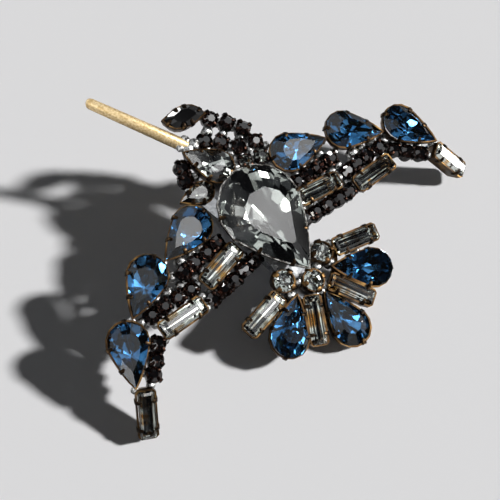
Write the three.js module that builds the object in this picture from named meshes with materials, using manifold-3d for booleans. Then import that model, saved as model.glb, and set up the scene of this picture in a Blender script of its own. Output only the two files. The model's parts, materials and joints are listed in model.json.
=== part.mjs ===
// A hummingbird hair ornament of claw-set glass stones, soldered setting to setting, on a sprung steel hair clip.
// Millimetres. Bird frame: +Y along the body to the head, +X to the right wing, +Z out of the stones' faces,
// zero at the round end of the centre stone and at the girdles of the wing stones. The whole bird is then pitched
// head up and set down on the end of its tail and on the clip's thumb lever, with its footprint on the origin.
import * as THREE from 'three';
import { mergeVertices } from 'three/addons/utils/BufferGeometryUtils.js';
import Module from 'manifold-3d';

const wasm = await Module();
wasm.setup();

// ---------- driving dimensions ----------
const PITCH = 21;                 // degrees, head up, as the ornament lies on its tail and its thumb lever
const BACK = -3.6;                // every setting's base is soldered on this plane
const WALL = 0.35;                // sheet thickness of a setting
const GAP = 0.2;                  // room between a stone and its setting
const SEAT_DROP = 0.5;            // a girdle sits this far below the rim, under the claws

const PEAR = { radius: 4.0, tip: 9.0, depth: 2.3, crown: 1.2, rim: 0 };
const CENTRE = {
  radius: 9.0, tip: 16.0, depth: 4.6, crown: 2.6, rim: 2.9, table: 0.5, base: 0.74, at: [-0.3, 0],
};
const THROAT = { radius: 3.3, tip: 7.4, depth: 2.2, crown: 1.2, rim: 0.4 };
const CHEEK = { radius: 2.0, tip: 5.0, depth: 1.8, crown: 0.9, rim: -0.2 };
const NAVETTE = { length: 8.4, width: 4.2, depth: 1.8, crown: 0.9, rim: 0, belly: 8.4 / 4.5 };
const BAGUETTE = { length: 10, width: 3.2, depth: 1.9, crown: 0.9, rim: -0.2 };
const CHATON = { radius: 1.5, rim: -0.8, crown: 0.8 };
const TAIL_CHATON = { radius: 2.3, rim: -0.4, crown: 1.1 };

// Shares of a stone's outline at its table and its culet, and the height of its girdle.
const STONE = { table: 0.55, culet: 0.12, girdle: 0.3 };
const BASE = 0.84;                // share of a setting's outline at its base
const PEAR_SIDE = { start: 0.92, bulge: 0.05, pull: 0.62 };   // where its sides leave the round end, their curve
const CUP = { sides: 10, foot: 0.75, table: 0.6, shoulder: 0.9 };
const SOLDER_BAR = { width: 1.0, height: 1.1, drop: 1.1 };

const TAIL_BAND = { at: [0, -13], inner: 9.2, outer: 10.4, spread: 66, thickness: 0.7, lift: 0.1 };

const BEAK = {
  root: [-3.7, 20.0], tip: [-16.4, 39.4], rootWidth: 3.0, tipWidth: 2.8, thickness: 1.9, top: 0.4, sides: 6,
};
// The beak's rounded end: distance back from the tip, share of the tip's width, drop of the top.
const BEAK_END = [[1.2, 1, 0.1], [0.4, 0.72, 0.3], [0, 0.3, 0.8]];

// Shifts and turns, in millimetres and degrees, by which the hand soldering of each wing differs.
const WINGS = [
  {
    side: 'right', mirror: 1, middleShift: [-0.1, -0.8], middleTurn: -2,
    pearTurn: -5, outerShift: [0.6, 0.8], tipDroop: 26,
  },
  {
    side: 'left', mirror: -1, middleShift: [0, 0], middleTurn: 3.6,
    pearTurn: 0, outerShift: [0, 0], tipDroop: 28,
  },
];
const MIDDLE_PIVOT = [22, -6.5];                       // inner end of the middle row and baguette
const TIP_HINGE = { at: [43.0, -15.0], turn: -60, room: 0.4 };   // where the last baguette is bent down

const CLIP = {
  hingeY: -3, hingeZ: -9, sheet: 0.8, plateTop: -3.9, plateWidth: 9.4, plateFront: -28, plateRear: 13,
  armWidth: 7.2, lugRadius: 2.6, pinRadius: 0.7, pinHole: 0.95, headRadius: 1.3,
  plateRearRound: 3, plateFrontRound: 2, taperFrom: 6, noseWidth: 0.7, noseBend: 0.6, earSpread: 4.4,
  headThickness: 0.5, pinSides: 12, springInner: 1.1, springOuter: 1.9, springLength: 4.6, springSides: 14,
  thumbY: 15.2, thumbZ: -23.7, thumbRun: 3, thumbRise: 1.7, thumbEnd: 0.9,
  jawTipY: -28, jawRun: 3, jawSlope: 0.35, springRoom: 0.75,
};

const SAME_POINT = 0.02;          // outline points nearer than this are one
const WELD = 1e-4;                // corners nearer than this are welded before solids are joined

// ---------- materials ----------
const finish = (color, roughness, metalness) => new THREE.MeshStandardMaterial({ color, roughness, metalness });
const SAPPHIRE = finish(0x2f5f9e, 0.05, 0.1);
const CRYSTAL = finish(0xdfe3e2, 0.05, 0.1);
const SMOKE = finish(0x77797a, 0.08, 0.1);
const JET = finish(0x14100f, 0.15, 0.3);
const BRASS = finish(0x9a7a48, 0.35, 1.0);
const BEAK_GOLD = finish(0xd8c39a, 0.35, 1.0);
const STEEL = finish(0xb9bbbd, 0.3, 1.0);

// ---------- outlines: counter-clockwise lists of points, the long way along +X ----------
function pearOutline(radius, tip) {
  const lean = Math.acos(radius / tip) * PEAR_SIDE.start;
  const shape = new THREE.Shape();
  shape.absarc(0, 0, radius, lean, 2 * Math.PI - lean, false);
  const from = [radius * Math.cos(lean), radius * Math.sin(lean)];
  const bulge = [(from[0] + tip) / 2 + PEAR_SIDE.bulge * radius, from[1] * PEAR_SIDE.pull];
  shape.quadraticCurveTo(bulge[0], -bulge[1], tip, 0);
  shape.quadraticCurveTo(bulge[0], bulge[1], from[0], from[1]);
  return shapePoints(shape, 5);
}

function navetteOutline({ length, width, belly }) {
  const shape = new THREE.Shape();
  shape.moveTo(length / 2, 0);
  shape.quadraticCurveTo(belly, width, -length / 2, 0);
  shape.quadraticCurveTo(-belly, -width, length / 2, 0);
  const points = shapePoints(shape, 6);
  const reach = Math.max(...points.map((p) => p[1]));
  return points.map(([x, y]) => [x, y * width / 2 / reach]);
}

function baguetteOutline(length, width, corner = 0.35) {
  const [x, y] = [length / 2, width / 2];
  return [[x - corner, -y], [x, corner - y], [x, y - corner], [x - corner, y],
    [corner - x, y], [-x, y - corner], [-x, corner - y], [corner - x, -y]];
}

function roundOutline(radius, sides) {
  return Array.from({ length: sides }, (_, i) => {
    const a = (i / sides) * 2 * Math.PI;
    return [radius * Math.cos(a), radius * Math.sin(a)];
  });
}

function shapePoints(shape, divisions) {
  const points = shape.getPoints(divisions).map((p) => [p.x, p.y]);
  return points.filter(([x, y], i) => {
    const [nx, ny] = points[(i + 1) % points.length];
    return Math.hypot(nx - x, ny - y) > SAME_POINT;
  });
}

// An outline moved outwards by a distance, corner by corner, with sharp tips kept blunt.
const BLUNT = 0.8;
function offset(outline, distance) {
  const n = outline.length;
  return outline.map(([x, y], i) => {
    const [px, py] = outline[(i + n - 1) % n];
    const [qx, qy] = outline[(i + 1) % n];
    const a = unit(y - py, px - x);
    const b = unit(qy - y, x - qx);
    const scale = distance / Math.max(BLUNT, 1 + a[0] * b[0] + a[1] * b[1]);
    return [x + (a[0] + b[0]) * scale, y + (a[1] + b[1]) * scale];
  });
}

function unit(x, y) {
  const length = Math.hypot(x, y);
  return [x / length, y / length];
}

// An outline shrunk towards a point, by a ratio.
function shrink(outline, ratio, about = middleOf(outline)) {
  return outline.map(([x, y]) => [about[0] + (x - about[0]) * ratio, about[1] + (y - about[1]) * ratio]);
}

function middleOf(outline) {
  const xs = outline.map((p) => p[0]);
  return [(Math.min(...xs) + Math.max(...xs)) / 2, 0];
}

// ---------- solids from stacked outlines ----------
const level = (outline, z) => outline.map(([x, y]) => [x, y, z]);

function geometryFrom(positions, faces) {
  const geometry = new THREE.BufferGeometry();
  geometry.setAttribute('position', new THREE.Float32BufferAttribute(positions.flat(), 3));
  geometry.setIndex(faces.flat());
  geometry.computeVertexNormals();
  return geometry;
}

function sideFaces(lower, upper, count) {
  return Array.from({ length: count }, (_, i) => {
    const j = (i + 1) % count;
    return [lower + i, lower + j, upper + j, lower + i, upper + j, upper + i];
  });
}

// A closed body through outlines stacked from the bottom up, flat at both ends.
function stack(rings) {
  const count = rings[0].length;
  const faces = [];
  for (let r = 0; r + 1 < rings.length; r++) faces.push(...sideFaces(r * count, (r + 1) * count, count));
  const flat = (ring) => ring.map(([x, y]) => new THREE.Vector2(x, y));
  const top = (rings.length - 1) * count;
  for (const t of THREE.ShapeUtils.triangulateShape(flat(rings[0]), [])) faces.push([t[2], t[1], t[0]]);
  for (const t of THREE.ShapeUtils.triangulateShape(flat(rings.at(-1)), [])) faces.push(t.map((k) => top + k));
  return geometryFrom(rings.flat(), faces);
}

// An open-backed wall through closed outlines: up the outside, over the rim and down the inside.
function wall(rings) {
  const count = rings[0].length;
  const faces = rings.flatMap((_, r) => sideFaces(r * count, ((r + 1) % rings.length) * count, count));
  return geometryFrom(rings.flat(), faces);
}

// A faceted stone: table, crown, girdle and pavilion down to a small culet.
function stoneGeometry(outline, { rim, crown, depth, table = STONE.table }) {
  const girdle = rim - SEAT_DROP;
  return stack([
    level(shrink(outline, STONE.culet), girdle - depth),
    level(outline, girdle - STONE.girdle / 2),
    level(outline, girdle + STONE.girdle / 2),
    level(shrink(outline, table), girdle + crown),
  ]);
}

// A setting: a sheet-metal wall round the stone's outline, upright past the girdle and narrower at its base.
function settingGeometry(outline, { rim, base = BASE }) {
  const outer = offset(outline, GAP + WALL);
  const inner = offset(outline, GAP);
  const seat = rim - 2 * SEAT_DROP;
  return wall([level(shrink(outer, base), BACK), level(outer, seat), level(outer, rim),
    level(inner, rim), level(inner, seat), level(shrink(inner, base), BACK)]);
}

// ---------- joining with manifold-3d ----------
function toManifold(source) {
  const bare = source.clone();
  bare.deleteAttribute('normal');
  bare.deleteAttribute('uv');
  const merged = mergeVertices(bare, WELD);
  return new wasm.Manifold(new wasm.Mesh({
    numProp: 3,
    vertProperties: new Float32Array(merged.attributes.position.array),
    triVerts: new Uint32Array(merged.index.array),
  }));
}

function join(geometries) {
  const solid = geometries.map(toManifold).reduce((a, b) => a.add(b)).getMesh();
  const geometry = new THREE.BufferGeometry();
  geometry.setAttribute('position', new THREE.BufferAttribute(new Float32Array(solid.vertProperties), 3));
  geometry.setIndex(new THREE.BufferAttribute(new Uint32Array(solid.triVerts), 1));
  geometry.computeVertexNormals();
  return geometry;
}

// ---------- placing ----------
const radians = THREE.MathUtils.degToRad;

function mesh(name, geometry, material) {
  const part = new THREE.Mesh(geometry, material);
  part.name = name;
  return part;
}

function placed(object, [x, y], turn) {
  object.position.set(x, y, 0);
  object.rotation.z = radians(turn);
  return object;
}

// A stone and the setting that holds it, as two separate pieces in one group.
function setStone(name, outline, size, glass) {
  const group = new THREE.Group();
  group.add(mesh(`${name}_stone`, stoneGeometry(outline, size), glass));
  group.add(mesh(`${name}_setting`, settingGeometry(outline, size), BRASS));
  return group;
}

const pear = (name, size, glass) => setStone(name, pearOutline(size.radius, size.tip), size, glass);
const baguette = (name) => setStone(name, baguetteOutline(BAGUETTE.length, BAGUETTE.width), BAGUETTE, CRYSTAL);

// A row of round stones in cups, soldered side by side into one strip.
function chatonRow(name, places, size = CHATON, material = JET) {
  const outline = roundOutline(size.radius, CUP.sides);
  const cup = stack([level(shrink(outline, CUP.foot, [0, 0]), BACK), level(outline, size.rim - CUP.shoulder),
    level(outline, size.rim), level(shrink(outline, CUP.table, [0, 0]), size.rim + size.crown)]);
  const cups = places.map(([x, y]) => cup.clone().translate(x, y, 0));
  const solder = places.slice(1).map(([x, y], i) => {
    const [px, py] = places[i];
    const bar = new THREE.BoxGeometry(Math.hypot(x - px, y - py), SOLDER_BAR.width, SOLDER_BAR.height);
    bar.rotateZ(Math.atan2(y - py, x - px));
    return bar.translate((x + px) / 2, (y + py) / 2, size.rim - SOLDER_BAR.drop);
  });
  return mesh(name, join([...cups, ...solder]), material);
}

// Centres of a straight row: first centre, direction in degrees, pitch and count.
function line([x, y], turn, pitch, count) {
  const a = radians(turn);
  return Array.from({ length: count }, (_, i) => [x + i * pitch * Math.cos(a), y + i * pitch * Math.sin(a)]);
}

// ---------- wings ----------
// Built as a right wing; the left one is the same wing mirrored, each bent a little differently by hand.
function wing({ side, mirror, middleShift, middleTurn, pearTurn, outerShift, tipDroop }) {
  const name = (piece) => `${side}_wing_${piece}`;
  const inner = new THREE.Group();
  inner.add(placed(pear(name('inner_pear'), PEAR, SAPPHIRE), [13.9, 5.8], -15));
  inner.add(placed(baguette(name('inner_baguette')), [14.3, -4.6], -11));
  inner.add(chatonRow(name('inner_row'), line([11.6, -0.4], -4, 3.25, 4)));
  inner.add(chatonRow(name('lower_row'), line([7.5, -7.8], -7, 3.15, 5)));

  const middle = placed(new THREE.Group(), middleShift, 0);
  middle.add(placed(pear(name('middle_pear'), PEAR, SAPPHIRE), [28.0, 3.2], -33 + pearTurn));
  const strip = placed(new THREE.Group(), MIDDLE_PIVOT, middleTurn);
  strip.add(placed(baguette(name('middle_baguette')), [5.5, -2.0], 0));
  strip.add(chatonRow(name('middle_row'), line([0.7, 1.9], 1, 3.25, 4)));
  middle.add(strip);

  const outer = placed(new THREE.Group(), outerShift, 0);
  outer.add(placed(pear(name('outer_pear'), PEAR, SAPPHIRE), [39.7, -5.1], -62));
  outer.add(chatonRow(name('outer_row'), line([34.7, -9.1], -43, 3.25, 3)));
  const tip = placed(new THREE.Group(), TIP_HINGE.at, TIP_HINGE.turn);
  const droop = new THREE.Group();
  droop.rotation.y = radians(tipDroop);
  const tipStone = baguette(name('tip_baguette'));
  tipStone.position.x = BAGUETTE.length / 2 + TIP_HINGE.room;
  droop.add(tipStone);
  tip.add(droop);
  outer.add(tip);

  const group = new THREE.Group();
  group.add(inner, middle, outer);
  group.scale.x = mirror;
  return group;
}

// ---------- tail ----------
// Seven settings in a fan, soldered to one band at their inner ends, so they are a single metal piece.
function tail() {
  const pearShape = pearOutline(PEAR.radius, PEAR.tip);
  const baguetteShape = baguetteOutline(BAGUETTE.length, BAGUETTE.width);
  const fan = [['tail_middle_pear', pearShape, PEAR, [0, -32.3], 90]];
  for (const [side, mirror, outerTurn] of [['right', 1, -16], ['left', -1, -9]]) {
    const turned = (angle) => (mirror > 0 ? angle : 180 - angle);
    fan.push([`tail_${side}_pear`, pearShape, PEAR, [12.5 * mirror, -25.5], turned(141)]);
    fan.push([`tail_${side}_inner_baguette`, baguetteShape, BAGUETTE, [5.4 * mirror, -26.3], turned(-60)]);
    fan.push([`tail_${side}_outer_baguette`, baguetteShape, BAGUETTE, [13.6 * mirror, -18.3], turned(outerTurn)]);
  }
  const group = new THREE.Group();
  const walls = fan.map(([name, outline, size, place, turn]) => {
    const glass = size === PEAR ? SAPPHIRE : CRYSTAL;
    group.add(placed(mesh(`${name}_stone`, stoneGeometry(outline, size), glass), place, turn));
    return settingGeometry(outline, size).rotateZ(radians(turn)).translate(...place, 0);
  });
  group.add(mesh('tail_setting', join([...walls, tailBand()]), BRASS));
  group.add(chatonRow('tail_root_chatons', [[-5.6, -15.6], [0, -19.4], [5.6, -15.6]], TAIL_CHATON, CRYSTAL));
  return group;
}

function tailBand() {
  const { at: [x, y], inner, outer, spread, thickness, lift } = TAIL_BAND;
  const shape = new THREE.Shape();
  const [from, to] = [radians(-90 - spread), radians(-90 + spread)];
  shape.absarc(x, y, outer, from, to, false);
  shape.absarc(x, y, inner, to, from, true);
  shape.closePath();
  const band = new THREE.ExtrudeGeometry(shape, { depth: thickness, bevelEnabled: false, curveSegments: 12 });
  return band.translate(0, 0, BACK + lift);
}

// ---------- head ----------
function beak() {
  const [dx, dy] = [BEAK.tip[0] - BEAK.root[0], BEAK.tip[1] - BEAK.root[1]];
  const length = Math.hypot(dx, dy);
  const bottom = BEAK.top - BEAK.thickness;
  const section = (x, width, top) => Array.from({ length: BEAK.sides + 1 }, (_, i) => {
    const a = (i / BEAK.sides) * Math.PI;
    return [x, -Math.cos(a) * width / 2, bottom + Math.sin(a) * (top - bottom)];
  });
  const end = BEAK_END.map(([back, share, drop]) => (
    section(length - back, BEAK.tipWidth * share, BEAK.top - drop)));
  const rings = [section(0, BEAK.rootWidth, BEAK.top), ...end];
  const count = rings[0].length;
  const faces = [];
  for (let r = 0; r + 1 < rings.length; r++) faces.push(...sideFaces(r * count, (r + 1) * count, count));
  const last = (rings.length - 1) * count;
  for (let i = 1; i + 1 < count; i++) faces.push([0, i + 1, i], [last, last + i, last + i + 1]);
  const bar = mesh('beak', geometryFrom(rings.flat(), faces.map((f) => f.toReversed())), BEAK_GOLD);
  return placed(bar, BEAK.root, THREE.MathUtils.radToDeg(Math.atan2(dy, dx)));
}

function head() {
  const group = new THREE.Group();
  const crest = navetteOutline(NAVETTE);
  group.add(beak());
  group.add(placed(setStone('crest_navette', crest, NAVETTE, JET), [-0.2, 25.6], -24));
  group.add(placed(pear('throat', THROAT, CRYSTAL), [-1.3, 12.6], 121.5));
  group.add(placed(pear('cheek', CHEEK, SMOKE), [-7.3, 10.1], 168));
  group.add(chatonRow('crown_row', [[4.6, 21.9], [7.3, 19.3], [9.5, 16.3]]));
  group.add(chatonRow('nape_row', [[0.6, 18.8], [3.3, 16.3], [5.9, 13.5], [9.6, 12.2]]));
  group.add(chatonRow('collar_row', [[4.9, 9.9], [8.5, 8.9]], CHATON, SMOKE));
  group.add(chatonRow('chin_row', [[-8.6, 14.0], [-7.2, 16.8]]));
  return group;
}

// ---------- body ----------
function body() {
  const outline = pearOutline(CENTRE.radius, CENTRE.tip);
  const group = new THREE.Group();
  group.add(mesh('centre_stone', stoneGeometry(outline, CENTRE), CRYSTAL));
  group.add(mesh('centre_setting', settingGeometry(outline, CENTRE), BRASS));
  return placed(group, CENTRE.at, -90);
}

// ---------- hair clip: side profiles are drawn in the plane of Y and Z ----------
// A profile in (y, z), extruded along X from x to x + width.
function sideExtrude(shape, x, width, curveSegments = 8) {
  const geometry = new THREE.ExtrudeGeometry(shape, { depth: width, bevelEnabled: false, curveSegments });
  geometry.applyMatrix4(new THREE.Matrix4().makeBasis(
    new THREE.Vector3(0, 1, 0), new THREE.Vector3(0, 0, 1), new THREE.Vector3(1, 0, 0)));
  return geometry.translate(x, 0, 0);
}

// A bent strip of sheet along a line of points in (y, z).
function sheetShape(points, thickness) {
  const normals = points.map((p, i) => {
    const a = points[Math.max(0, i - 1)];
    const b = points[Math.min(points.length - 1, i + 1)];
    return unit(a[1] - b[1], b[0] - a[0]);
  });
  const edge = (side) => points.map(([y, z], i) => new THREE.Vector2(
    y + normals[i][0] * side * thickness / 2, z + normals[i][1] * side * thickness / 2));
  return new THREE.Shape([...edge(-1), ...edge(1).reverse()]);
}

function lugShape(radius, feet) {
  const shape = new THREE.Shape();
  const { hingeY: y, hingeZ: z } = CLIP;
  const up = feet[0][1] > z;
  shape.absarc(y, z, radius, up ? Math.PI : 0, up ? 2 * Math.PI : Math.PI, false);
  for (const [fy, fz] of feet) shape.lineTo(fy, fz);
  shape.closePath();
  const hole = new THREE.Path();
  hole.absarc(y, z, CLIP.pinHole, 0, 2 * Math.PI, true);
  shape.holes.push(hole);
  return shape;
}

function upperPlate() {
  const { plateTop, sheet, plateWidth, plateFront: front, plateRear: rear, hingeY: y, earSpread } = CLIP;
  const half = plateWidth / 2;
  const [nose, bend] = [half * CLIP.noseWidth, half * CLIP.noseBend];
  const plan = new THREE.Shape();
  plan.moveTo(-half, rear - CLIP.plateRearRound);
  plan.quadraticCurveTo(-half, rear, 0, rear);
  plan.quadraticCurveTo(half, rear, half, rear - CLIP.plateRearRound);
  plan.lineTo(half, y - CLIP.taperFrom);
  plan.lineTo(nose, front + CLIP.plateFrontRound);
  plan.quadraticCurveTo(bend, front, 0, front);
  plan.quadraticCurveTo(-bend, front, -nose, front + CLIP.plateFrontRound);
  plan.lineTo(-half, y - CLIP.taperFrom);
  const plate = new THREE.ExtrudeGeometry(plan, { depth: sheet, bevelEnabled: false, curveSegments: 4 });
  plate.translate(0, 0, plateTop - sheet);
  const earTop = plateTop - sheet / 2;
  const ear = lugShape(CLIP.lugRadius, [[y + earSpread, earTop], [y - earSpread, earTop]]);
  return join([plate, sideExtrude(ear, half - sheet, sheet), sideExtrude(ear, -half, sheet)]);
}

// The arm is one strip: jaw, slope down past the spring, a belly under the hinge, slope down to the thumb end.
function lowerArm() {
  const { sheet, armWidth, hingeY: y, hingeZ: z, jawTipY, thumbY, thumbZ, plateTop, lugRadius } = CLIP;
  const jawTop = plateTop - sheet - GAP - sheet / 2;
  const floor = z - CLIP.springOuter - CLIP.springRoom;
  const belly = [[y - 4, floor + 0.3], [y + 1.5, floor - 0.5]];
  const jaw = [[jawTipY, jawTop], [jawTipY + CLIP.jawRun, jawTop - CLIP.jawSlope]];
  const end = thumbZ + CLIP.thumbEnd;
  const thumb = [[thumbY - CLIP.thumbRun, end + CLIP.thumbRise], [thumbY, end]];
  const strip = sheetShape([...jaw, ...belly, ...thumb], sheet);
  const ear = lugShape(lugRadius, [[y - lugRadius - 0.6, floor + 0.2], [y + lugRadius, floor - 0.8]]);
  const half = armWidth / 2;
  const ears = [sideExtrude(ear, -half, sheet), sideExtrude(ear, half - sheet, sheet)];
  return join([sideExtrude(strip, -half, armWidth), ...ears]);
}

// A turned piece lying along X through the hinge; the profile is (radius, distance along X).
function turnedOnHinge(profile, sides) {
  const geometry = new THREE.LatheGeometry(profile.map(([r, x]) => new THREE.Vector2(r, x)), sides);
  geometry.rotateZ(-Math.PI / 2);
  return geometry.translate(0, CLIP.hingeY, CLIP.hingeZ);
}

function hingePin() {
  const { pinRadius: r, headRadius, plateWidth } = CLIP;
  const under = plateWidth / 2 + GAP;
  const over = under + CLIP.headThickness;
  return turnedOnHinge([[0, -over], [headRadius, -over], [headRadius, -under], [r, -under],
    [r, under], [headRadius, under], [headRadius, over], [0, over]], CLIP.pinSides);
}

function clipSpring() {
  const { springInner: inner, springOuter: outer, springLength } = CLIP;
  const x = springLength / 2;
  return turnedOnHinge([[inner, -x], [outer, -x], [outer, x], [inner, x], [inner, -x]], CLIP.springSides);
}

function clip() {
  const group = new THREE.Group();
  group.add(mesh('clip_upper_plate', upperPlate(), STEEL));
  group.add(mesh('clip_lower_arm', lowerArm(), STEEL));
  group.add(mesh('clip_hinge_pin', hingePin(), STEEL));
  group.add(mesh('clip_spring', clipSpring(), STEEL));
  return group;
}

// ---------- the whole ornament, set down ----------
const bird = new THREE.Group();
bird.add(body(), head(), tail(), ...WINGS.map(wing), clip());
bird.rotation.x = radians(PITCH);

const ornament = new THREE.Group();
ornament.add(bird);
ornament.updateMatrixWorld(true);
const box = new THREE.Box3().setFromObject(ornament, true);
bird.position.set(-(box.min.x + box.max.x) / 2, -(box.min.y + box.max.y) / 2, -box.min.z);

export default ornament;
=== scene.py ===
# %% [markdown]
# # A hummingbird hair clip of claw-set glass
# The bird is a costume ornament: pressed glass stones with silver foil behind them, each held by claws in
# its own small brass setting, with all the settings soldered edge to edge. A sprung steel hair clip is
# hidden underneath. The measured frame already holds every stone and setting at its true place, so each
# piece made here reads its place from the frame and adds what the frame leaves out: facets, foil, claws,
# cups, solder, worn metal.

# %% Load the frame
import json
import math
import random

import bpy
import numpy as np
from mathutils import Matrix, Vector


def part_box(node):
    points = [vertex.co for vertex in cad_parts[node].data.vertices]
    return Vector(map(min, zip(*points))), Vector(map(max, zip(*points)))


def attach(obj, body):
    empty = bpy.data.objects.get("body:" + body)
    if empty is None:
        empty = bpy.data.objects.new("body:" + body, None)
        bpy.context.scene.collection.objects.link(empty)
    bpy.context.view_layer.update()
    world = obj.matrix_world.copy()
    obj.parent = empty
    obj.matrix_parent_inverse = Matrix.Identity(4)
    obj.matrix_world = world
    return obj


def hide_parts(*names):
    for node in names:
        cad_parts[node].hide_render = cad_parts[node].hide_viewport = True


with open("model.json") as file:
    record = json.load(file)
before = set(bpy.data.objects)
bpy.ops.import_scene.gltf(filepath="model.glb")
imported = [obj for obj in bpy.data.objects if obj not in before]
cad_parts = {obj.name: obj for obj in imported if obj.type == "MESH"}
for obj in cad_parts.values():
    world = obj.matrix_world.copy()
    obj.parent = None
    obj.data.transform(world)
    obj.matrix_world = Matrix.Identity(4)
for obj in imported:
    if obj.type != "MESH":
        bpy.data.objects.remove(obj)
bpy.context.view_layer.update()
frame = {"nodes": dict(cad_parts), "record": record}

MM = 0.001
nodes = frame["nodes"]

# %% [markdown]
# ## Light, floor and camera
# Faceted glass shows little of its own: what is seen is the light round it, folded by the facets. A single
# soft light would leave it grey. So a sun, fairly low, gives the shadows, four large soft cards give the
# pale reflections on the tables and the metal, and a ring of small lamps gives the sparkle. The cards and
# lamps don't light the cloth. The room that the glass reflects is pale with dark patches, while the camera
# sees a plain backdrop behind the floor.

# %% Colours and shader nodes
def colour(hex_code):
    """An sRGB hex colour as linear RGBA."""
    channels = [int(hex_code[i:i + 2], 16) / 255 for i in (1, 3, 5)]
    return [c / 12.92 if c <= 0.04045 else ((c + 0.055) / 1.055) ** 2.4 for c in channels] + [1.0]


def add_node(tree, kind, links=None, **settings):
    """A shader node with its settings; links maps one of its inputs to another node's output socket."""
    node = tree.nodes.new(kind)
    for name, value in settings.items():
        if name in node.inputs:
            node.inputs[name].default_value = value
        else:
            setattr(node, name, value)
    for name, socket in (links or {}).items():
        tree.links.new(socket, node.inputs[name])
    return node


# %% Camera
CAMERA_PLACE = Vector((-65.7, -71.9, 180.0)) * MM
CAMERA_TARGET = Vector((-7.6, -6.9, 14.0)) * MM

camera_data = bpy.data.cameras.new("camera")
camera_data.lens = 63.4
camera_data.sensor_width = 36
camera_data.clip_start = 10 * MM
camera = bpy.data.objects.new("camera", camera_data)
camera.location = CAMERA_PLACE
camera.rotation_euler = (CAMERA_TARGET - CAMERA_PLACE).to_track_quat("-Z", "Y").to_euler()
bpy.context.collection.objects.link(camera)
bpy.context.scene.camera = camera
print("camera is", round((CAMERA_TARGET - CAMERA_PLACE).length / MM), "mm from the bird")

# %% Lights
LAMP_DISTANCE = 0.6                                 # metres from the ornament
BREAST = Vector((0, 0, 12)) * MM                    # what the lamps look at


def soft_light(name, direction, size, power):
    """A round area light, looking at the ornament from a direction."""
    data = bpy.data.lights.new(name, "AREA")
    data.shape = "DISK"
    data.size = size
    data.energy = power
    lamp = bpy.data.objects.new(name, data)
    lamp.location = BREAST + Vector(direction).normalized() * LAMP_DISTANCE
    lamp.rotation_euler = Vector(direction).to_track_quat("Z", "Y").to_euler()
    bpy.context.collection.objects.link(lamp)
    return lamp


SUN_FROM = Vector((0.68, -0.58, 0.62))              # the direction in which the sun stands
sun_data = bpy.data.lights.new("key", "SUN")
sun_data.energy = 4.6
sun_data.angle = math.radians(5)
sun_data.color = (1.0, 0.985, 0.965)
sun = bpy.data.objects.new("key", sun_data)
sun.rotation_euler = SUN_FROM.to_track_quat("Z", "Y").to_euler()
bpy.context.collection.objects.link(sun)
CARDS = {                                           # direction, size in metres, watts
    "overhead": ((0.31, -0.33, 0.89), 0.14, 0.22),
    "low card": ((0.78, -0.62, 0.06), 0.20, 1.6),
    "left card": ((-0.85, -0.1, 0.5), 0.22, 0.5),
    "back card": ((-0.2, 0.85, 0.45), 0.18, 0.5),
}
SPARKS = 22                                         # small lamps round the room, for sparkle in the facets
SPARK_SIZE, SPARK_POWER = 0.04, 0.11                # metres, watts
LOWEST, HIGHEST = 0.15, 0.78                        # sines of their elevations
GOLDEN_TURN = math.radians(137.5)
for k in range(SPARKS):
    rise = LOWEST + (HIGHEST - LOWEST) * k / SPARKS
    flat = math.sqrt(1 - rise * rise)
    towards = (flat * math.cos(k * GOLDEN_TURN), flat * math.sin(k * GOLDEN_TURN), rise)
    CARDS[f"spark {k}"] = (towards, SPARK_SIZE, SPARK_POWER)
for name, (direction, size, power) in CARDS.items():
    card = soft_light(name, direction, size, power)
    card.visible_diffuse = False
print("one sun and", len(CARDS), "cards and lamps")

# %% Surround
SEEN_IN_GLASS, AMBIENT = 1.3, 0.045                 # strengths: seen in the glass, falling on the cloth
BACKDROP = (0.62, 0.62, 0.63, 1.0)

world = bpy.data.worlds.new("room")
bpy.context.scene.world = world
world.use_nodes = True
room = world.node_tree
room.nodes.clear()
direction = add_node(room, "ShaderNodeTexCoord")
height = add_node(room, "ShaderNodeSeparateXYZ", {"Vector": direction.outputs["Generated"]})
patches = add_node(
    room, "ShaderNodeTexNoise", {"Vector": direction.outputs["Generated"]}, Scale=3.4, Detail=1.0)
walls = add_node(room, "ShaderNodeValToRGB", {"Fac": height.outputs["Z"]})
walls.color_ramp.elements[0].position = 0.05
walls.color_ramp.elements[0].color = (0.40, 0.40, 0.40, 1)
walls.color_ramp.elements[1].position = 0.9
walls.color_ramp.elements[1].color = (0.85, 0.87, 0.90, 1)
contrast = add_node(room, "ShaderNodeValToRGB", {"Fac": patches.outputs["Fac"]})
contrast.color_ramp.elements[0].position = 0.49
contrast.color_ramp.elements[0].color = (0.05, 0.05, 0.055, 1)
contrast.color_ramp.elements[1].position = 0.55
contrast.color_ramp.elements[1].color = (1, 1, 1, 1)
mixed = add_node(room, "ShaderNodeMix", data_type="RGBA", blend_type="MULTIPLY")
mixed.inputs["Factor"].default_value = 1.0
room.links.new(walls.outputs["Color"], mixed.inputs["A"])
room.links.new(contrast.outputs["Color"], mixed.inputs["B"])
seen = add_node(room, "ShaderNodeBackground", {"Color": mixed.outputs["Result"]}, Strength=SEEN_IN_GLASS)
ambient = add_node(room, "ShaderNodeBackground", {"Color": walls.outputs["Color"]}, Strength=AMBIENT)
path = add_node(room, "ShaderNodeLightPath")
either = add_node(room, "ShaderNodeMixShader", {"Fac": path.outputs["Is Diffuse Ray"]})
room.links.new(seen.outputs["Background"], either.inputs[1])
room.links.new(ambient.outputs["Background"], either.inputs[2])
backdrop = add_node(room, "ShaderNodeBackground", Color=BACKDROP, Strength=1.0)
shown = add_node(room, "ShaderNodeMixShader", {"Fac": path.outputs["Is Camera Ray"]})
room.links.new(either.outputs["Shader"], shown.inputs[1])
room.links.new(backdrop.outputs["Background"], shown.inputs[2])
add_node(room, "ShaderNodeOutputWorld", {"Surface": shown.outputs["Shader"]})

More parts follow.
